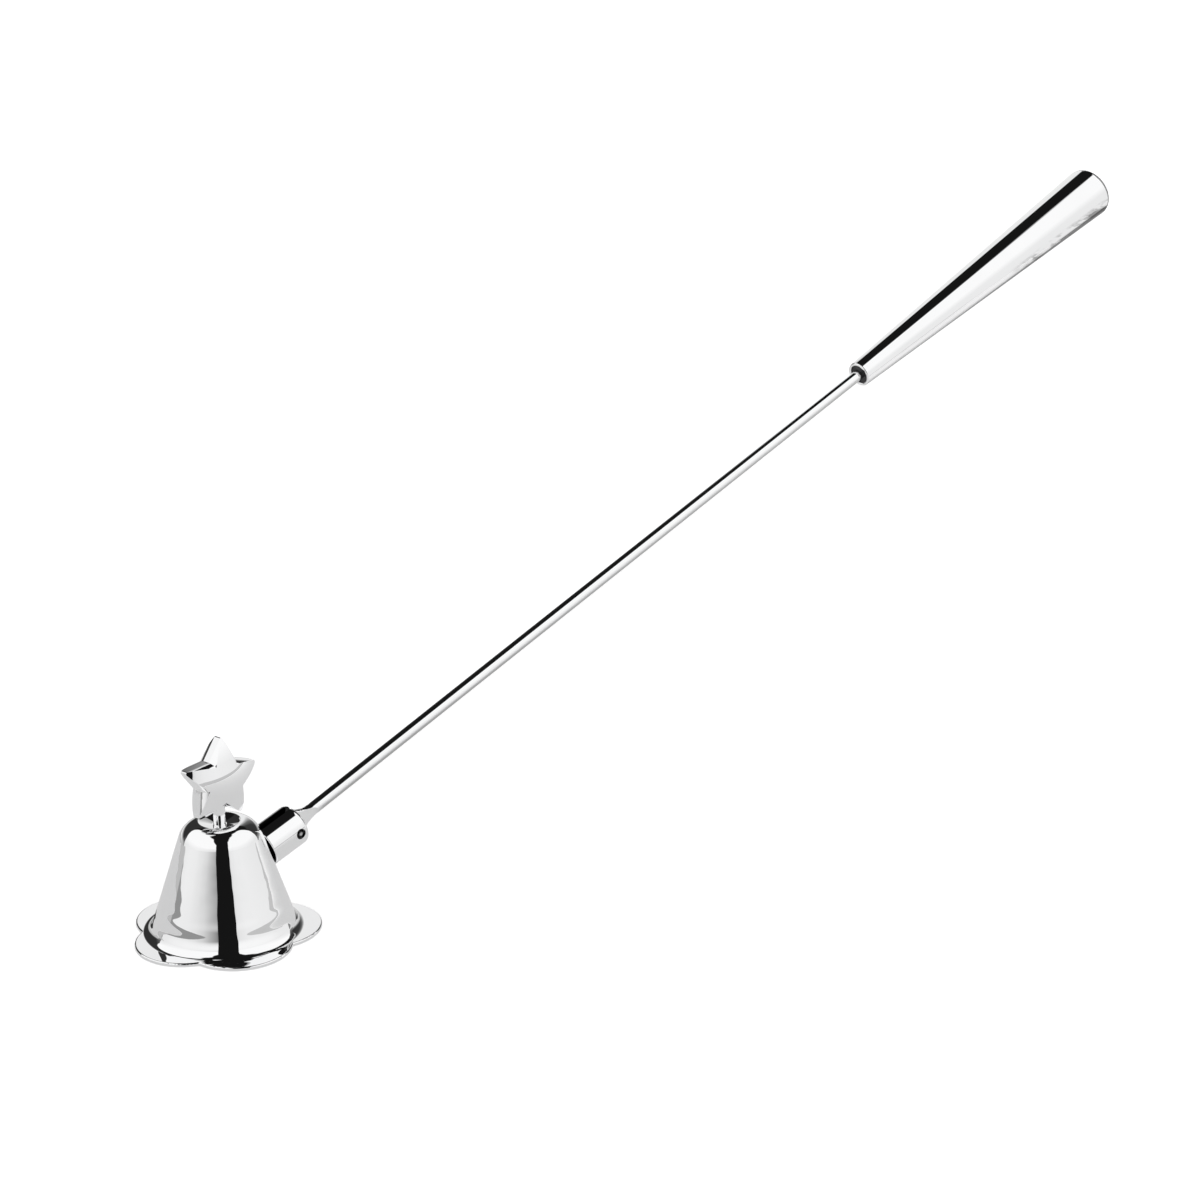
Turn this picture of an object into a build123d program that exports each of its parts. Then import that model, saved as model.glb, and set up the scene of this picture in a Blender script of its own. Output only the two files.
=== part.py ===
from build123d import *
import os
from math import atan2, cos, hypot, radians, sin, tan

# Hinged candle snuffer. Millimetres, +Z up along the bell's axis, +X towards the handle.
# The origin is the centre of the bell's mouth, on the plane that the brim stands on.

# Bell: one sheet, from the flower brim up to the dished crown
sheet = 1.0
brim_radius = 22.0
notch_radius = 18.6
petals = 5
notch_rounding = 0.6
brim_edge_rounding = 0.35
wall_base_radius = 17.0
wall_angle = 18.0
flare_radius = 2.2
crest_height = 27.2
crown_fall = 6.0
crown_rounding = 5.35
crown_inner_rounding = 3.6
dish_radius = 4.7
dish_floor_radius = 1.6
dish_depth = 0.9
dish_lip_rounding = 0.35
dish_floor_rounding = 0.5

# Star finial on its post
star_radius = 10.25
star_inner_radius = 5.65
star_rays = 5
star_centre_height = 36.9
star_shift = 0.2
star_tilt = 6.4
star_lean = 4.2
star_middle_thickness = 7.4
star_tip_thickness = 1.45
star_wall = 1.9
star_edge_inset = 1.4
star_edge_steps = 4
star_tip_rounding = 0.45
star_face_margin = 0.02
post_radius = 1.4

# Fixings inside the bell
hole_clearance = 0.1
thread_clearance = 0.03
washer_radius = 2.5
washer_thickness = 0.5
washer_lift = 0.3
stud_radius = 1.0
stud_overhang = 0.6
nut_across_flats = 4.0
nut_thickness = 1.6
screw_radius = 1.25
screw_grip = 3.0
screw_hole_depth = 3.2
screw_head_radius = 2.25
screw_head_height = 1.5
screw_head_rounding = 0.6
screw_slot_width = 0.7
screw_slot_depth = 0.7

# Hinge barrel and pin
pin_distance = 18.94
pin_height = 19.48
barrel_radius = 4.9
barrel_beyond_pin = 2.6
barrel_end_rounding = 1.4
barrel_back_rounding = 0.25
slot_width = 1.9
slot_behind_pin = 3.5
pin_radius = 0.95
pin_fit = 0.02
pin_end_recess = 0.1
pin_end_rounding = 0.6
pin_seat_radius = 1.25
pin_seat_depth = 0.6

# Rod with its flattened and flared end
rod_lift = 2.42
rod_radius = 1.5
blade_thickness = 1.6
blade_heel_radius = 3.2
blade_mouth = 3.2
blade_mouth_half_width = 3.1
flare_waist = 5.6
flare_waist_half_width = 1.85
blade_running_clearance = 0.05
round_from = 8.3
flattening_length = 3.2

# Handle
handle_from = 210.5
handle_length = 108.5
handle_thin_radius = 3.45
handle_thick_radius = 7.35
handle_wall = 0.8
handle_lip_rounding = 0.35
handle_end_rounding = 1.5
handle_end_dome = 0.5
handle_inner_rounding = 0.6
bush_set_back = 0.9
bush_length = 12.0
bush_fit = 0.02
rod_fit = 0.02

# Derived directions and places
wall_slope = tan(radians(wall_angle))
pin_centre = Vector(pin_distance, 0, pin_height)
dish_floor_height = crest_height - dish_depth
star_drop = (star_middle_thickness - star_tip_thickness) / 2
star_face_radius = (star_radius**2 + star_drop**2) / (2 * star_drop)
star_half_step = radians(180 / star_rays)
star_half_tip = atan2(
    star_inner_radius * sin(star_half_step), star_radius - star_inner_radius * cos(star_half_step)
)
handle_to = handle_from + handle_length
handle_taper = atan2(handle_thick_radius - handle_thin_radius, handle_length)


def wall_radius(height):
    """Outer radius of the conical wall at a height."""
    return wall_base_radius - wall_slope * height


# Corner, before its rounding, where the wall meets the crown's top, which falls outwards from the dish
crown_slope = tan(radians(crown_fall))
crown_corner_height = (crest_height - crown_slope * (wall_base_radius - dish_radius)) / (
    1 - crown_slope * wall_slope
)
crown_corner = (wall_radius(crown_corner_height), crown_corner_height)

# Distance from the pin back to the wall, along the barrel's axis, which stands square on the wall
pin_to_wall = (pin_distance - wall_radius(pin_height)) * cos(radians(wall_angle))


def frame_along(pitch):
    """Frame at the pin's centre: Z points outwards at this pitch, X lies along the pin."""
    direction = (cos(radians(pitch)), 0, sin(radians(pitch)))
    return Plane(origin=pin_centre, x_dir=(0, 1, 0), z_dir=direction)


barrel_frame = frame_along(wall_angle)
rod_frame = frame_along(wall_angle + rod_lift)


def rod_between(radius, start, end):
    """Cylinder on the Z axis from one height to another."""
    return Pos(0, 0, start) * Cylinder(radius, end - start, align=(Align.CENTER, Align.CENTER, Align.MIN))


def cross_rod(radius, half_length):
    """Cylinder along X, centred on the origin."""
    return Rot(0, 90, 0) * Cylinder(radius, 2 * half_length)


def spin(corners, radii):
    """Solid of revolution about Z from the corners (radius, height) of a closed section."""
    edge = FilletPolyline(*corners, radius=radii, close=True)
    return revolve(Plane.XZ * make_face(edge), Axis.Z)


def shifted_corners(corners, distance):
    """Corners of a chain of straight runs, moved sideways by a distance to the left of its run."""
    runs = []
    for start, end in zip(corners, corners[1:]):
        along = (Vector(*end) - Vector(*start)).normalized()
        runs.append((Vector(*start) + Vector(-along.Y, along.X) * distance, along))
    inner = [runs[0][0]]
    for (start, along), (next_start, next_along) in zip(runs, runs[1:]):
        turn = along.X * next_along.Y - along.Y * next_along.X
        gap = next_start - start
        inner.append(start + along * ((gap.X * next_along.Y - gap.Y * next_along.X) / turn))
    last_start, last_along = runs[-1]
    last_length = hypot(corners[-1][0] - corners[-2][0], corners[-1][1] - corners[-2][1])
    inner.append(last_start + last_along * last_length)
    return [(point.X, point.Y) for point in inner]


def flower_outline():
    """Face of the brim: one arc per petal, with a notch on the handle's side."""
    step = 360 / petals
    arcs = []
    for petal in range(petals):
        start, tip, end = (radians(step * (petal + part)) for part in (0, 0.5, 1))
        arcs.append(
            ThreePointArc(
                (notch_radius * cos(start), notch_radius * sin(start)),
                (brim_radius * cos(tip), brim_radius * sin(tip)),
                (notch_radius * cos(end), notch_radius * sin(end)),
            )
        )
    flower = make_face(arcs)
    return fillet(flower.vertices(), notch_rounding)


def make_bell():
    """Sheet shell trimmed to the flower outline, with holes for the post and the barrel's screw."""
    outside = [
        (brim_radius + sheet, sheet),
        (wall_radius(sheet), sheet),
        crown_corner,
        (dish_radius, crest_height),
        (dish_floor_radius, dish_floor_height),
        (0, dish_floor_height),
    ]
    inside = shifted_corners(outside, sheet)
    outside_radii = [0, flare_radius, crown_rounding, dish_lip_rounding, dish_floor_rounding, 0]
    inside_radii = [0, flare_radius + sheet, crown_inner_rounding, 0, dish_floor_rounding + sheet, 0]
    shell = spin(outside + inside[::-1], outside_radii + inside_radii[::-1])
    shell = shell & extrude(flower_outline(), crest_height + sheet)
    shell -= rod_between(stud_radius + hole_clearance, 0, crest_height)
    shell -= barrel_frame * rod_between(
        screw_radius + hole_clearance, -pin_to_wall - 2 * sheet, -pin_to_wall + sheet
    )
    rim = shell.edges().filter_by(
        lambda edge: hypot(edge.center().X, edge.center().Y) > notch_radius - sheet
    )
    flat_rim = rim.filter_by(lambda edge: abs(edge.bounding_box().size.Z) < sheet / 10)
    return fillet(flat_rim, brim_edge_rounding)


def star_tip_reach(inset):
    """Distance from the star's middle to a tip of the outline moved inwards by an inset."""
    return star_radius - inset / sin(star_half_tip)


def star_valley_reach(inset):
    """Distance from the star's middle to an inner corner of the outline moved inwards by an inset."""
    return (star_radius * sin(star_half_tip) - inset) / sin(star_half_step + star_half_tip)


def star_outline(inset):
    """Star face with blunt tips, its edges moved inwards by an inset."""
    corners = []
    for index in range(2 * star_rays):
        reach = star_tip_reach(inset) if index % 2 == 0 else star_valley_reach(inset)
        angle = radians(90) + star_half_step * index
        corners.append((reach * cos(angle), reach * sin(angle)))
    flat_star = make_face(Polyline(*corners, close=True))
    between = (star_tip_reach(inset) + star_valley_reach(inset)) / 2
    tips = flat_star.vertices().filter_by(lambda corner: hypot(corner.X, corner.Y) > between)
    return fillet(tips, star_tip_rounding)


def make_star_half():
    """Front half of the star: straight wall, edges rolled over in a quarter ellipse, swollen face."""
    face_centre = star_face_radius - star_middle_thickness / 2
    valley = star_valley_reach(star_edge_inset)
    edge_top = (star_face_radius**2 - valley**2) ** 0.5 - face_centre + star_face_margin
    edge_rise = edge_top - star_wall / 2
    sections = []
    for step in range(star_edge_steps + 1):
        turn = radians(90 * step / star_edge_steps)
        outline = star_outline(star_edge_inset * (1 - cos(turn)))
        sections.append(Pos(0, 0, star_wall / 2 + edge_rise * sin(turn)) * outline)
    middle = extrude(star_outline(star_edge_inset), star_middle_thickness - edge_top)
    block = extrude(star_outline(0), star_wall / 2) + loft(sections) + Pos(0, 0, edge_top) * middle
    return block & Pos(0, 0, -face_centre) * Rot(90, 0, 0) * Sphere(star_face_radius)


def make_star_finial():
    """Star in the plane of the rod, set a little askew, on a post with a stud."""
    half = make_star_half()
    star = half + mirror(half, Plane.XY)
    star = Pos(star_shift, 0, star_centre_height) * Rot(90 - star_lean, 0, 0) * Rot(0, 0, -star_tilt) * star
    stud_end = dish_floor_height - sheet - washer_thickness - nut_thickness - stud_overhang
    post = rod_between(post_radius, dish_floor_height, star_centre_height)
    return star + post + rod_between(stud_radius, stud_end, dish_floor_height)


def make_finial_washer():
    """Flat washer under the crown."""
    top = dish_floor_height - sheet
    disc = rod_between(washer_radius, top - washer_thickness, top)
    return disc - rod_between(stud_radius + hole_clearance, 0, crest_height)


def make_finial_nut():
    """Hexagon nut on the post's threaded end."""
    bottom = dish_floor_height - sheet - washer_thickness - nut_thickness
    hexagon = extrude(RegularPolygon(nut_across_flats / 2, 6, major_radius=False), nut_thickness)
    corner_radius = nut_across_flats / 2 / cos(radians(30))
    domed = spin(
        [(0, 0), (corner_radius, 0), (corner_radius, nut_thickness), (0, nut_thickness)],
        [0, corner_radius - nut_across_flats / 2, corner_radius - nut_across_flats / 2, 0],
    )
    nut = Pos(0, 0, bottom) * (hexagon & domed)
    return nut - rod_between(stud_radius + thread_clearance, 0, crest_height)


def make_barrel():
    """Barrel square on the wall: rounded outer end, blade slot, pin hole and screw hole."""
    barrel = rod_between(barrel_radius, -pin_to_wall, barrel_beyond_pin)
    barrel = fillet(barrel.edges().filter_by(GeomType.CIRCLE).sort_by(Axis.Z)[-1], barrel_end_rounding)
    barrel = fillet(barrel.edges().filter_by(GeomType.CIRCLE).sort_by(Axis.Z)[0], barrel_back_rounding)
    slot_length = slot_behind_pin + barrel_beyond_pin
    barrel -= Pos(0, 0, barrel_beyond_pin - slot_length / 2) * Box(slot_width, 3 * barrel_radius, slot_length)
    barrel -= cross_rod(pin_radius + pin_fit, 2 * barrel_radius)
    seat = cross_rod(pin_seat_radius, 2 * barrel_radius)
    barrel -= seat - cross_rod(2 * pin_seat_radius, barrel_radius - pin_seat_depth)
    barrel -= rod_between(screw_radius + thread_clearance, -pin_to_wall, -pin_to_wall + screw_hole_depth)
    return barrel_frame * barrel


def make_barrel_washer():
    """Flat washer inside the bell, resting on the hollow of the wall."""
    outer_face = -pin_to_wall - sheet - washer_lift
    disc = rod_between(washer_radius, outer_face - washer_thickness, outer_face)
    return barrel_frame * (disc - rod_between(screw_radius + hole_clearance, -2 * pin_to_wall, 0))


def make_barrel_screw():
    """Slotted pan-head screw from inside the bell into the barrel."""
    seat = -pin_to_wall - sheet - washer_lift - washer_thickness
    head = rod_between(screw_head_radius, seat - screw_head_height, seat)
    head = fillet(head.edges().filter_by(GeomType.CIRCLE).sort_by(Axis.Z)[0], screw_head_rounding)
    head -= Pos(0, 0, seat - screw_head_height) * Box(
        3 * screw_head_radius, screw_slot_width, 2 * screw_slot_depth
    )
    return barrel_frame * (head + rod_between(screw_radius, seat, -pin_to_wall + screw_grip))


def make_pin():
    """Cross pin with rounded ends, a little below the barrel's surface."""
    pin = cross_rod(pin_radius, barrel_radius - pin_end_recess)
    pin = fillet(pin.edges().filter_by(GeomType.CIRCLE), pin_end_rounding)
    return barrel_frame * pin


def make_rod():
    """Round rod whose end is pressed flat, flares out and ends in a round heel about the pin."""
    half = blade_thickness / 2
    sections = [
        (blade_mouth, blade_mouth_half_width),
        (flare_waist, flare_waist_half_width),
        (round_from, rod_radius),
    ]
    flare = loft([Pos(0, 0, along) * Ellipse(rod_radius, width) for along, width in sections])
    pressed_from = round_from - flattening_length
    pressed_edge = [
        Polyline((half, 0), (half, pressed_from)),
        TangentArc((half, pressed_from), (rod_radius, round_from), tangent=(0, 1)),
        Polyline((rod_radius, round_from), (-rod_radius, round_from)),
        TangentArc((-half, pressed_from), (-rod_radius, round_from), tangent=(0, 1)),
        Polyline((-half, pressed_from), (-half, 0), (half, 0)),
    ]
    pressed = extrude(Plane.XZ * make_face(pressed_edge), 2 * blade_heel_radius, both=True)
    blade_half_widths = [(0, blade_heel_radius), (blade_mouth, blade_mouth_half_width)]
    blade_edge = [(width, along) for along, width in blade_half_widths]
    blade_edge += [(-width, along) for along, width in blade_half_widths[::-1]]
    blade_face = make_face(Polyline(*blade_edge, close=True)) + Circle(blade_heel_radius)
    blade = extrude(Plane.YZ * blade_face, half, both=True)
    end = blade + (flare & pressed)
    shaft = rod_between(rod_radius, round_from, handle_from + bush_set_back + bush_length)
    rod = end + shaft - cross_rod(pin_radius + blade_running_clearance, barrel_radius)
    return rod_frame * rod


def handle_bore(along):
    """Inner radius of the tapered shell at a distance from the pin."""
    outer = handle_thin_radius + (along - handle_from) * tan(handle_taper)
    return outer - handle_wall / cos(handle_taper)


def make_handle_shell():
    """Tapered hollow handle, open and rolled at the thin end, closed and rounded at the thick end."""
    inner_end = handle_to - handle_wall
    corners = [
        (handle_bore(handle_from), handle_from),
        (handle_thin_radius, handle_from),
        (handle_thick_radius, handle_to),
        (0, handle_to + handle_end_dome),
        (0, inner_end + handle_end_dome),
        (handle_bore(inner_end), inner_end),
    ]
    radii = [handle_lip_rounding, handle_lip_rounding, handle_end_rounding, 0, 0, handle_inner_rounding]
    return rod_frame * spin(corners, radii)


def make_handle_bush():
    """Tapered plug that fills the handle's thin end and grips the rod."""
    start = handle_from + bush_set_back
    end = start + bush_length
    plug = Pos(0, 0, start) * Cone(
        handle_bore(start) - bush_fit,
        handle_bore(end) - bush_fit,
        bush_length,
        align=(Align.CENTER, Align.CENTER, Align.MIN),
    )
    return rod_frame * (plug - rod_between(rod_radius + rod_fit, start, end))


nodes = {
    "bell": make_bell,
    "star_finial": make_star_finial,
    "finial_washer": make_finial_washer,
    "finial_nut": make_finial_nut,
    "hinge_barrel": make_barrel,
    "barrel_washer": make_barrel_washer,
    "barrel_screw": make_barrel_screw,
    "hinge_pin": make_pin,
    "rod": make_rod,
    "handle_bush": make_handle_bush,
    "handle_shell": make_handle_shell,
}

os.makedirs("parts", exist_ok=True)
for name, make in nodes.items():
    export_step(make(), f"parts/{name}.step")
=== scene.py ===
from math import atan2, cos, degrees, pi, radians, sin

import bmesh
import bpy
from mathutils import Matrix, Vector

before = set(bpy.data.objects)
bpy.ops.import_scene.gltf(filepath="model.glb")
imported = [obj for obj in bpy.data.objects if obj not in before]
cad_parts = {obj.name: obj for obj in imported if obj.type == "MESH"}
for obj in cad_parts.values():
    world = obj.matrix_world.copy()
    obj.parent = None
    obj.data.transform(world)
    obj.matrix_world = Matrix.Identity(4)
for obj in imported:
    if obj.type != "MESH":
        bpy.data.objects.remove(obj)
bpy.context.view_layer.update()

# Camera, in the row frame, metres and degrees
camera_place = Vector((-0.3123, -0.4442, 0.25905))
camera_heading = degrees(atan2(0.7177, 0.6964))
camera_pitch_down = 18.546
camera_lens = 78.0
camera_sensor = 36.0

# Studio round the object. Azimuths run from the camera's side, positive to its right, in degrees.
# Two white panels stand left and right of a dark gap at the camera, under a dark ceiling.
panel_tops = [
    (-148, -90),
    (-145, 50),
    (-142, 57),
    (-121, 72),
    (-45, 72),
    (-30, 69),
    (-5, 44),
    (1, -90),
    (27.6, -90),
    (28.4, 20),
    (32, 40),
    (36, 53),
    (50, 64),
    (69, 70),
    (125, 70),
    (146, 58),
    (149, -90),
]
panel_bottoms = [
    (-147, 46),
    (-137, 39),
    (-123, 31),
    (-110, 21),
    (-103, 0),
    (-101, -90),
    (125, -90),
    (126, 5),
    (128, 25),
    (135, 39),
    (147, 56),
]
# Tone of the panels near the ground; they grow to an even white higher up
panel_foot_tones = [
    (-100, 0.85),
    (-75, 0.90),
    (-55, 0.88),
    (-40, 0.80),
    (-28, 0.68),
    (-18, 0.50),
    (-6, 0.30),
    (1, 0.02),
    (28.4, 0.72),
    (33, 0.82),
    (45, 0.88),
    (60, 0.90),
    (100, 0.86),
]
panel_white = 1.02
panel_foot_from = 8
panel_foot_to = 27
# Tone behind and beside the panels: close to the ground, and from there up to the rear wall's top
dark_tone = 0.008
rear_tone = 0.86
low_surround_tones = [
    (-180, rear_tone),
    (-165, 0.75),
    (-140, 0.90),
    (-115, 0.55),
    (-103, 0.25),
    (-98, dark_tone),
    (120, dark_tone),
    (126, 0.25),
    (150, 0.35),
    (165, 0.60),
    (174, rear_tone),
    (180, rear_tone),
]
surround_tones = [
    (-180, rear_tone),
    (-167, rear_tone),
    (-164, 0.03),
    (-120, 0.03),
    (-103, 0.15),
    (-98, dark_tone),
    (120, dark_tone),
    (127, 0.10),
    (135, 0.03),
    (158, 0.04),
    (168, 0.15),
    (174, 0.50),
    (178, rear_tone),
    (180, rear_tone),
]
low_surround_to = 9
rear_top = 40
edge_softness = 1.2

# Floor, and the table that the metal reflects, in metres. The table grows paler towards its near right
# corner and has a low grey skirting on all sides but the right one.
floor_half = 5.0
floor_drop = 0.00002
floor_tone = 0.86
floor_lift_for_camera = 0.62
table_lift = 0.15
table_end_lift = 0.42
table_paler_way = (0.7071, -0.7071, 0)
table_paler_from = 0.06
table_paler_to = 0.36
table_corners = [(0.52, 0.0), (-0.21, 0.21), (-0.21, -0.21), (0.52, -0.21)]
skirting_height = 0.016
skirting_tones = [0.52, 0.30, 0.56]

# The rod's rise above the level, in degrees, and the ways along it and straight under it
rod_pitch = 20.42
along_rod = (cos(radians(rod_pitch)), 0, sin(radians(rod_pitch)))
under_rod = (sin(radians(rod_pitch)), 0, -cos(radians(rod_pitch)))

# Painted shade along the underside of the rod and handle: metres from the pin at which it begins and is full,
# which leaves the rod's flattened end bright, how far the surface faces down, as cosines, and its tone
underside_shade_start = (0.0070, 0.0100)
rod_underside_shade_reach = (-0.2, 0.2)
handle_underside_shade_reach = (0.28, 0.58)
underside_shade_tone = 0.5

# Painted shadow and reflection of a stand, as dark marks low on the handle's thick end: metres from the pin
# at which they begin and are full, how far the surface faces down, as cosines, their stretch in 1/m along the
# handle and across, and their tone
stand_shadow_start = (0.272, 0.282)
stand_shadow_reach = (0.0, 0.25)
stand_shadow_grain = (110, 420, 420)
stand_shadow_density = (0.46, 0.6)
stand_shadow_tone = 0.3

# Darker ring on the rounding of the handle's end: how far the surface faces along the handle, as cosines,
# where it begins and is full, where it fades and is gone, and its tone
dark_ring_start = (0.0, 0.12)
dark_ring_end = (0.97, 0.9)
dark_ring_tone = 0.25

# Shallow ripple round the foot of the bell's wall, in metres: (height on the bell, swell outwards)
foot_ripple = [
    (0.0014, 0.000257),
    (0.0020, 0.000257),
    (0.0026, 0.000212),
    (0.0032, 0.000122),
    (0.0038, 0.000032),
    (0.0044, -0.000028),
    (0.0050, -0.000009),
    (0.0056, 0.000023),
    (0.0062, 0.000053),
    (0.0068, 0.000060),
    (0.0074, 0.000039),
    (0.0080, 0.000012),
    (0.0086, 0.000000),
    (0.0092, 0.000000),
]

# Faces smaller than this, in square metres, are taken out of the handle's mesh
least_face_area = 1e-14

# Hinge, in metres: the pin's axis, the rim of its seat, the bright middle of its end and the reach of the
# painted shade round it, half the slot's width
pin_axis = (0.01894, 0, 0.01948)
pin_seat_radius = 0.00125
pin_bright_radius = 0.0002
pin_dark_radius = 0.00055
slot_half_width = 0.00095
# Painted shade in the slot and the seats: the softness of its edge in metres, and the tone of the painted
# shade there and on the pin's end
painted_shade_edge = 0.00004
painted_shade_tone = 0.02

# Light and dark tones of the metals
chrome_tones = {"light": (0.955, 0.957, 0.96), "dark": (0.925, 0.927, 0.932)}
steel_tones = {"light": (0.62, 0.62, 0.63), "dark": (0.48, 0.48, 0.49)}
black_tones = {"light": (0.11, 0.11, 0.112), "dark": (0.02, 0.02, 0.021)}

# Clouds of tone on every metal, in 1/m, and the noise values that tones and roughness are spread between
cloud_scale = 45.0
noise_from = 0.3
noise_to = 0.7

# Surfaces of the metals: stretch of the polishing marks in 1/m along X, Y and Z, their share in the
# roughness, scale of the waviness in 1/m and its height in metres
spun_surface = {"grain": (30, 30, 900), "grain_share": 0.5, "wave_scale": 90, "wave_height": 2e-4}
cast_surface = {"grain": (400, 400, 400), "grain_share": 0.4, "wave_scale": 160, "wave_height": 3e-6}
drawn_surface = {"grain": (12, 1500, 1500), "grain_share": 0.6, "wave_scale": 60, "wave_height": 2e-6}
steel_surface = {"grain": (400, 400, 400), "grain_share": 0.6, "wave_scale": 900, "wave_height": 4e-6}

# Sockets of a mix node that blends colours, by their number
mix_share = 0
mix_first = 6
mix_second = 7
mix_result = 2


def add_node(tree, kind, **settings):
    """New shader node, with properties by name and inputs by their socket's name."""
    node = tree.nodes.new(kind)
    for name, value in settings.items():
        if name == "inputs":
            for socket, constant in value.items():
                node.inputs[socket].default_value = constant
        else:
            setattr(node, name, value)
    return node


def set_ramp(node, stops):
    """Grey steps (position, tone) of a colour ramp."""
    ramp = node.color_ramp
    while len(ramp.elements) > 1:
        ramp.elements.remove(ramp.elements[-1])
    for index, (position, tone) in enumerate(stops):
        element = ramp.elements[0] if index == 0 else ramp.elements.new(position)
        element.position = position
        element.color = (tone, tone, tone, 1)


def make_camera():
    """Camera at the photograph's place and angle."""
    data = bpy.data.cameras.new("camera")
    data.lens = camera_lens
    data.sensor_width = camera_sensor
    data.clip_start = 0.01
    camera = bpy.data.objects.new("camera", data)
    heading, pitch = radians(camera_heading), radians(camera_pitch_down)
    ahead = Vector((cos(heading) * cos(pitch), sin(heading) * cos(pitch), -sin(pitch)))
    camera.location = camera_place
    camera.rotation_euler = ahead.to_track_quat("-Z", "Y").to_euler()
    bpy.context.scene.collection.objects.link(camera)
    bpy.context.scene.camera = camera


def ramp_by_azimuth(tree, share, stops, low, high):
    """Output of a ramp once round, from -180 to 180 degrees; its values fill the range low to high."""
    ramp = add_node(tree, "ShaderNodeValToRGB")
    set_ramp(ramp, [((azimuth + 180) / 360, (value - low) / (high - low)) for azimuth, value in stops])
    tree.links.new(share, ramp.inputs["Fac"])
    return ramp.outputs["Color"]


def soft_step(tree, value, start, stop):
    """Output that grows from 0 to 1 while a value goes from start to stop."""
    step = add_node(tree, "ShaderNodeMapRange", inputs={"From Min": start, "From Max": stop})
    tree.links.new(value, step.inputs["Value"])
    return step.outputs["Result"]


def calculate(tree, operation, first, second):
    """Output of a sum on two outputs."""
    node = add_node(tree, "ShaderNodeMath", operation=operation)
    tree.links.new(first, node.inputs[0])
    tree.links.new(second, node.inputs[1])
    return node.outputs[0]


def blend(tree, share, first, second):
    """Output that goes from the first to the second as a share grows from 0 to 1."""
    node = add_node(tree, "ShaderNodeMix", data_type="FLOAT")
    tree.links.new(share, node.inputs["Factor"])
    for socket, source in (("A", first), ("B", second)):
        if isinstance(source, float):
            node.inputs[socket].default_value = source
        else:
            tree.links.new(source, node.inputs[socket])
    return node.outputs["Result"]


def studio_tone(tree):
    """Brightness of the studio by direction: panels with shaded feet, rear wall, dark elsewhere."""
    link = tree.links.new
    place = add_node(tree, "ShaderNodeTexCoord")
    turned = add_node(tree, "ShaderNodeVectorRotate", rotation_type="Z_AXIS")
    turned.inputs["Angle"].default_value = pi - radians(camera_heading)
    parts = add_node(tree, "ShaderNodeSeparateXYZ")
    link(place.outputs["Generated"], turned.inputs["Vector"])
    link(turned.outputs["Vector"], parts.inputs["Vector"])
    azimuth = calculate(tree, "ARCTAN2", parts.outputs["Y"], parts.outputs["X"])
    share = soft_step(tree, azimuth, -pi, pi)
    rise = add_node(tree, "ShaderNodeMath", operation="ARCSINE")
    link(parts.outputs["Z"], rise.inputs[0])
    height = soft_step(tree, rise.outputs[0], -pi / 2, pi / 2)
    softness = edge_softness / 180
    top = ramp_by_azimuth(tree, share, panel_tops, -90, 90)
    bottom = ramp_by_azimuth(tree, share, panel_bottoms, -90, 90)
    below_top = soft_step(tree, calculate(tree, "SUBTRACT", top, height), -softness, softness)
    above_bottom = soft_step(tree, calculate(tree, "SUBTRACT", height, bottom), -softness, softness)
    on_panel = calculate(tree, "MULTIPLY", below_top, above_bottom)
    foot = ramp_by_azimuth(tree, share, panel_foot_tones, 0, 1)
    up_panel = soft_step(tree, height, (panel_foot_from + 90) / 180, (panel_foot_to + 90) / 180)
    panel = blend(tree, up_panel, foot, panel_white)
    low_wall = ramp_by_azimuth(tree, share, low_surround_tones, 0, 1)
    high_wall = ramp_by_azimuth(tree, share, surround_tones, 0, 1)
    above_low = soft_step(tree, height, 0.5, (low_surround_to + 90) / 180)
    wall = blend(tree, above_low, low_wall, high_wall)
    above_wall = soft_step(tree, height, (rear_top + 90) / 180 - softness, (rear_top + 90) / 180 + softness)
    surround = blend(tree, above_wall, wall, dark_tone)
    return blend(tree, on_panel, surround, panel)


def make_world():
    """Soft studio round the object; the camera itself sees plain white."""
    world = bpy.data.worlds.new("studio")
    bpy.context.scene.world = world
    world.use_nodes = True
    tree = world.node_tree
    tree.nodes.clear()
    link = tree.links.new
    studio = add_node(tree, "ShaderNodeBackground", inputs={"Strength": 1.0})
    white = add_node(tree, "ShaderNodeBackground", inputs={"Color": (1, 1, 1, 1), "Strength": 1.0})
    path = add_node(tree, "ShaderNodeLightPath")
    choice = add_node(tree, "ShaderNodeMixShader")
    output = add_node(tree, "ShaderNodeOutputWorld")
    link(studio_tone(tree), studio.inputs["Color"])
    link(path.outputs["Is Camera Ray"], choice.inputs["Fac"])
    link(studio.outputs[0], choice.inputs[1])
    link(white.outputs[0], choice.inputs[2])
    link(choice.outputs[0], output.inputs["Surface"])


def floor_material(name, seen_by, lift, end_lift):
    """Pale matt surface that keeps its shadows, lifted towards white for one kind of ray.

    The lift grows from lift to end_lift along the table's paler way.
    """
    material = bpy.data.materials.new(name)
    material.use_nodes = True
    tree = material.node_tree
    tree.nodes.clear()
    link = tree.links.new
    matt = add_node(tree, "ShaderNodeBsdfDiffuse", inputs={"Color": (floor_tone, floor_tone, floor_tone, 1)})
    path = add_node(tree, "ShaderNodeLightPath")
    place = add_node(tree, "ShaderNodeTexCoord")
    reach = add_node(tree, "ShaderNodeVectorMath", operation="DOT_PRODUCT")
    reach.inputs[1].default_value = table_paler_way
    link(place.outputs["Object"], reach.inputs[0])
    along = soft_step(tree, reach.outputs["Value"], table_paler_from, table_paler_to)
    amount = calculate(tree, "MULTIPLY", path.outputs[seen_by], blend(tree, along, lift, end_lift))
    glow = add_node(tree, "ShaderNodeEmission")
    both = add_node(tree, "ShaderNodeAddShader")
    output = add_node(tree, "ShaderNodeOutputMaterial")
    link(amount, glow.inputs["Strength"])
    link(matt.outputs[0], both.inputs[0])
    link(glow.outputs[0], both.inputs[1])
    link(both.outputs[0], output.inputs["Surface"])
    return material


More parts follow.
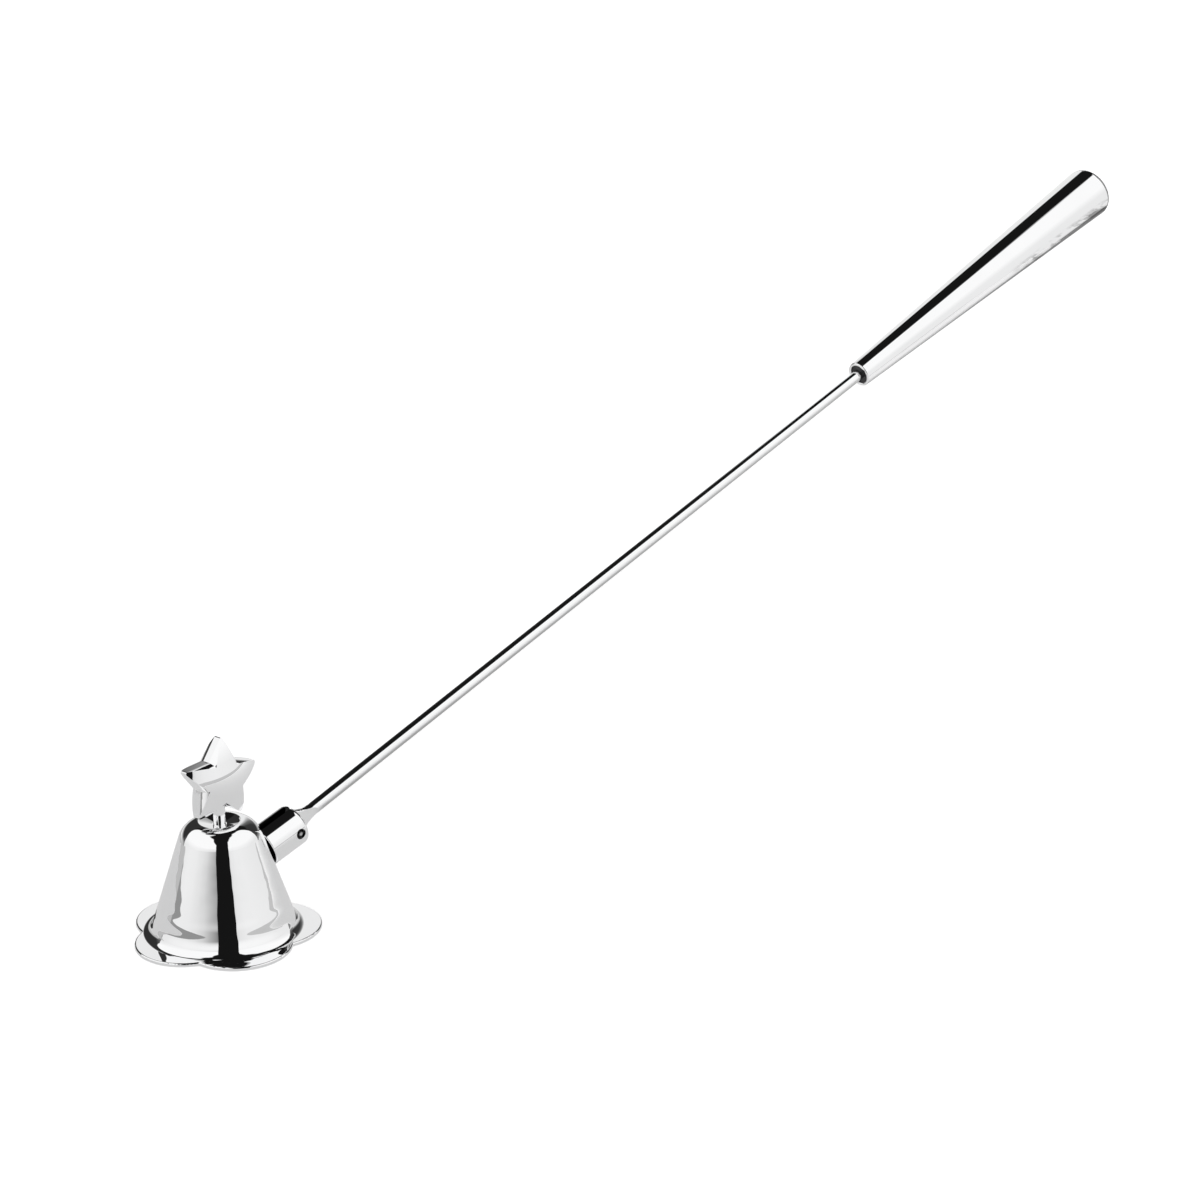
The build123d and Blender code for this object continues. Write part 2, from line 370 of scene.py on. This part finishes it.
def skirting_material(name, tone):
    """Plain grey of one side of the low strip round the table."""
    material = bpy.data.materials.new(name)
    material.use_nodes = True
    tree = material.node_tree
    tree.nodes.clear()
    glow = add_node(tree, "ShaderNodeEmission", inputs={"Strength": 1.0})
    glow.inputs["Color"].default_value = (tone, tone, tone, 1)
    output = add_node(tree, "ShaderNodeOutputMaterial")
    tree.links.new(glow.outputs[0], output.inputs["Surface"])
    return material


def stage_mesh(name, corners, faces, material):
    """Piece of the studio, which is no part of the object."""
    mesh = bpy.data.meshes.new(name)
    mesh.from_pydata(corners, [], faces)
    mesh.materials.append(material)
    piece = bpy.data.objects.new(name, mesh)
    bpy.context.scene.collection.objects.link(piece)
    return piece


def show_to_metal_only(piece):
    """The piece is seen in reflections, and neither by the camera nor as light or shadow."""
    piece.visible_camera = False
    piece.visible_diffuse = False
    piece.visible_transmission = False
    piece.visible_shadow = False


def make_floor():
    """Flat floor under the brim for the camera, and the table with its skirting for the metal."""
    square = [(-1, -1), (1, -1), (1, 1), (-1, 1)]
    corners = [(x * floor_half, y * floor_half, -floor_drop) for x, y in square]
    floor_look = floor_material("floor", "Is Camera Ray", floor_lift_for_camera, floor_lift_for_camera)
    floor = stage_mesh("floor", corners, [(0, 1, 2, 3)], floor_look)
    floor.visible_glossy = False
    low = [(x, y, -floor_drop) for x, y in table_corners]
    high = [(x, y, skirting_height) for x, y in table_corners]
    table_look = floor_material("table", "Is Glossy Ray", table_lift, table_end_lift)
    table = stage_mesh("table", low, [(0, 1, 2, 3)], table_look)
    show_to_metal_only(table)
    for side, tone in enumerate(skirting_tones):
        name = f"skirting_{side}"
        strip = low[side : side + 2] + high[side : side + 2][::-1]
        show_to_metal_only(stage_mesh(name, strip, [(0, 1, 2, 3)], skirting_material(name, tone)))


def stretched_marks(tree, grain):
    """Output of a noise turned with the rod and stretched by grain, in 1/m along X, Y and Z."""
    place = add_node(tree, "ShaderNodeTexCoord")
    stretch = add_node(tree, "ShaderNodeMapping")
    stretch.inputs["Rotation"].default_value = (0, radians(rod_pitch), 0)
    stretch.inputs["Scale"].default_value = grain
    marks = add_node(tree, "ShaderNodeTexNoise", inputs={"Scale": 1.0, "Detail": 3.0, "Roughness": 0.6})
    tree.links.new(place.outputs["Object"], stretch.inputs["Vector"])
    tree.links.new(stretch.outputs["Vector"], marks.inputs["Vector"])
    return marks.outputs["Fac"]


def metal_material(name, light, dark, smooth, rough, grain, grain_share, wave_scale, wave_height):
    """Metal with cloudy tone, fine marks in its polish and a little waviness.

    light and dark are the tones of the clouds, smooth and rough the ends of the roughness,
    grain the stretch of the marks in 1/m along X, Y and Z.
    """
    material = bpy.data.materials.new(name)
    material.use_nodes = True
    tree = material.node_tree
    link = tree.links.new
    shader = tree.nodes["Principled BSDF"]
    shader.inputs["Metallic"].default_value = 1.0
    place = add_node(tree, "ShaderNodeTexCoord")
    clouds = add_node(tree, "ShaderNodeTexNoise", inputs={"Detail": 4.0, "Roughness": 0.55})
    clouds.inputs["Scale"].default_value = cloud_scale
    cloud_tone = add_node(tree, "ShaderNodeValToRGB")
    cloud_tone.color_ramp.elements[0].position = noise_from
    cloud_tone.color_ramp.elements[0].color = (*dark, 1)
    cloud_tone.color_ramp.elements[1].position = noise_to
    cloud_tone.color_ramp.elements[1].color = (*light, 1)
    link(place.outputs["Object"], clouds.inputs["Vector"])
    link(clouds.outputs["Fac"], cloud_tone.inputs["Fac"])
    link(cloud_tone.outputs["Color"], shader.inputs["Base Color"])
    unevenness = add_node(tree, "ShaderNodeMix", data_type="FLOAT")
    unevenness.inputs["Factor"].default_value = grain_share
    link(clouds.outputs["Fac"], unevenness.inputs["A"])
    link(stretched_marks(tree, grain), unevenness.inputs["B"])
    roughness = add_node(tree, "ShaderNodeMapRange", inputs={"From Min": noise_from, "From Max": noise_to})
    roughness.inputs["To Min"].default_value = smooth
    roughness.inputs["To Max"].default_value = rough
    link(unevenness.outputs["Result"], roughness.inputs["Value"])
    link(roughness.outputs["Result"], shader.inputs["Roughness"])
    waves = add_node(tree, "ShaderNodeTexNoise", inputs={"Detail": 2.0, "Roughness": 0.4})
    waves.inputs["Scale"].default_value = wave_scale
    bump = add_node(tree, "ShaderNodeBump", inputs={"Strength": 1.0, "Distance": wave_height})
    link(place.outputs["Object"], waves.inputs["Vector"])
    link(waves.outputs["Fac"], bump.inputs["Height"])
    link(bump.outputs["Normal"], shader.inputs["Normal"])
    return material


def from_pin_axis(tree):
    """Output with the distance from the hinge pin's axis."""
    place = add_node(tree, "ShaderNodeTexCoord")
    offset = add_node(tree, "ShaderNodeVectorMath", operation="SUBTRACT")
    offset.inputs[1].default_value = pin_axis
    across = add_node(tree, "ShaderNodeVectorMath", operation="MULTIPLY")
    across.inputs[1].default_value = (1, 0, 1)
    distance = add_node(tree, "ShaderNodeVectorMath", operation="LENGTH")
    tree.links.new(place.outputs["Object"], offset.inputs[0])
    tree.links.new(offset.outputs["Vector"], across.inputs[0])
    tree.links.new(across.outputs["Vector"], distance.inputs[0])
    return distance.outputs["Value"]


def from_middle_plane(tree):
    """Output with the distance from the plane in the middle of the hinge's slot."""
    place = add_node(tree, "ShaderNodeTexCoord")
    parts = add_node(tree, "ShaderNodeSeparateXYZ")
    distance = add_node(tree, "ShaderNodeMath", operation="ABSOLUTE")
    tree.links.new(place.outputs["Object"], parts.inputs["Vector"])
    tree.links.new(parts.outputs["Y"], distance.inputs[0])
    return distance.outputs[0]


def add_darker_tone(material, share, tone):
    """Turns a metal to a darker tone where the share is 1: painted shade, and the darker ring on the handle's
    end.
    """
    tree = material.node_tree
    shader = tree.nodes["Principled BSDF"]
    clean = shader.inputs["Base Color"].links[0].from_socket
    darkened = add_node(tree, "ShaderNodeMix", data_type="RGBA")
    darkened.inputs[mix_second].default_value = (tone, tone, tone, 1)
    tree.links.new(share, darkened.inputs[mix_share])
    tree.links.new(clean, darkened.inputs[mix_first])
    tree.links.new(darkened.outputs[mix_result], shader.inputs["Base Color"])


def add_hinge_painted_shade(material):
    """Painted shade, nearly black, in the barrel's slot and in the seats round the pin's ends."""
    tree = material.node_tree
    in_slot = soft_step(
        tree, from_middle_plane(tree), slot_half_width + 2 * painted_shade_edge, slot_half_width + painted_shade_edge
    )
    in_seat = soft_step(tree, from_pin_axis(tree), pin_seat_radius + painted_shade_edge, pin_seat_radius - painted_shade_edge)
    add_darker_tone(material, calculate(tree, "MAXIMUM", in_slot, in_seat), painted_shade_tone)


def add_pin_painted_shade(material):
    """Painted shade round the bright middle of the pin's end."""
    tree = material.node_tree
    add_darker_tone(material, soft_step(tree, from_pin_axis(tree), pin_bright_radius, pin_dark_radius), painted_shade_tone)


def facing(tree, way):
    """Output with the cosine between the surface's own direction and a way."""
    place = add_node(tree, "ShaderNodeTexCoord")
    product = add_node(tree, "ShaderNodeVectorMath", operation="DOT_PRODUCT")
    product.inputs[1].default_value = way
    tree.links.new(place.outputs["Normal"], product.inputs[0])
    return product.outputs["Value"]


def underside(tree, reach, start):
    """Output that is 1 on the underside of the rod or the handle.

    reach says how far the surface faces down, start how far from the hinge pin the underside counts.
    """
    below = soft_step(tree, facing(tree, under_rod), *reach)
    beyond = soft_step(tree, from_pin_axis(tree), *start)
    return calculate(tree, "MULTIPLY", below, beyond)


def add_underside_shade(material, reach):
    """Painted shade along the underside of the rod or the handle, as a darker colour of the metal."""
    add_darker_tone(material, underside(material.node_tree, reach, underside_shade_start), underside_shade_tone)


def add_stand_shadow(material):
    """Painted shadow and reflection of a stand, as dark marks low on the handle's thick end."""
    tree = material.node_tree
    marked = soft_step(tree, stretched_marks(tree, stand_shadow_grain), *stand_shadow_density)
    share = calculate(tree, "MULTIPLY", marked, underside(tree, stand_shadow_reach, stand_shadow_start))
    add_darker_tone(material, share, stand_shadow_tone)


def add_dark_ring(material):
    """Darker ring on the rounding between the handle's side and its end."""
    tree = material.node_tree
    along = facing(tree, along_rod)
    ring = calculate(
        tree, "MULTIPLY", soft_step(tree, along, *dark_ring_start), soft_step(tree, along, *dark_ring_end)
    )
    add_darker_tone(material, ring, dark_ring_tone)


def add_foot_ripple(material):
    """Ripple round the foot of the bell's wall, where the sheet was pressed out into the brim."""
    tree = material.node_tree
    shader = tree.nodes["Principled BSDF"]
    even = shader.inputs["Normal"].links[0].from_socket
    low, high = foot_ripple[0][0], foot_ripple[-1][0]
    least = min(swell for height, swell in foot_ripple)
    depth = max(swell for height, swell in foot_ripple) - least
    place = add_node(tree, "ShaderNodeTexCoord")
    parts = add_node(tree, "ShaderNodeSeparateXYZ")
    profile = add_node(tree, "ShaderNodeValToRGB")
    profile.color_ramp.interpolation = "B_SPLINE"
    stops = [((height - low) / (high - low), (swell - least) / depth) for height, swell in foot_ripple]
    set_ramp(profile, stops)
    ripple = add_node(tree, "ShaderNodeBump", inputs={"Strength": 1.0, "Distance": depth})
    tree.links.new(place.outputs["Object"], parts.inputs["Vector"])
    tree.links.new(soft_step(tree, parts.outputs["Z"], low, high), profile.inputs["Fac"])
    tree.links.new(profile.outputs["Color"], ripple.inputs["Height"])
    tree.links.new(even, ripple.inputs["Normal"])
    tree.links.new(ripple.outputs["Normal"], shader.inputs["Normal"])


def drop_flat_faces(node):
    """Takes out faces with no area, which the mesh has at the middle of its turned end."""
    mesh = bmesh.new()
    mesh.from_mesh(node.data)
    flat = [face for face in mesh.faces if face.calc_area() < least_face_area]
    bmesh.ops.delete(mesh, geom=flat, context="FACES")
    mesh.to_mesh(node.data)
    mesh.free()


def dress_nodes():
    """Materials for the CAD nodes: spun, cast and drawn chrome, and steel for the bush, pin and fixings."""
    spun = metal_material("chrome_spun", smooth=0.012, rough=0.035, **chrome_tones, **spun_surface)
    add_foot_ripple(spun)
    cast = metal_material("chrome_cast", smooth=0.015, rough=0.05, **chrome_tones, **cast_surface)
    drawn = metal_material("chrome_drawn", smooth=0.012, rough=0.04, **chrome_tones, **drawn_surface)
    # Painted shade along the handle's underside
    add_underside_shade(drawn, handle_underside_shade_reach)
    # Painted shadow and reflection of a stand on the handle's thick end
    add_stand_shadow(drawn)
    add_dark_ring(drawn)
    wire = metal_material("chrome_wire", smooth=0.012, rough=0.04, **chrome_tones, **drawn_surface)
    # Painted shade along the rod's underside
    add_underside_shade(wire, rod_underside_shade_reach)
    hinge = metal_material("chrome_hinge", smooth=0.015, rough=0.05, **chrome_tones, **cast_surface)
    # Painted shade in the barrel's slot and the pin's seats
    add_hinge_painted_shade(hinge)
    steel = metal_material("steel_plain", smooth=0.18, rough=0.34, **steel_tones, **steel_surface)
    burnished = metal_material("steel_burnished", smooth=0.12, rough=0.28, **steel_tones, **steel_surface)
    # Painted shade on the pin's end round its bright middle
    add_pin_painted_shade(burnished)
    blackened = metal_material("steel_blackened", smooth=0.22, rough=0.4, **black_tones, **steel_surface)
    looks = {
        "bell": spun,
        "star_finial": cast,
        "hinge_barrel": hinge,
        "rod": wire,
        "handle_shell": drawn,
        "handle_bush": blackened,
        "hinge_pin": burnished,
        "finial_washer": steel,
        "finial_nut": steel,
        "barrel_washer": steel,
        "barrel_screw": steel,
    }
    for name, material in looks.items():
        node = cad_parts[name]
        node.data.materials.clear()
        node.data.materials.append(material)


make_camera()
make_world()
make_floor()
dress_nodes()
drop_flat_faces(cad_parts["handle_shell"])
bpy.context.scene.view_settings.view_transform = "Standard"
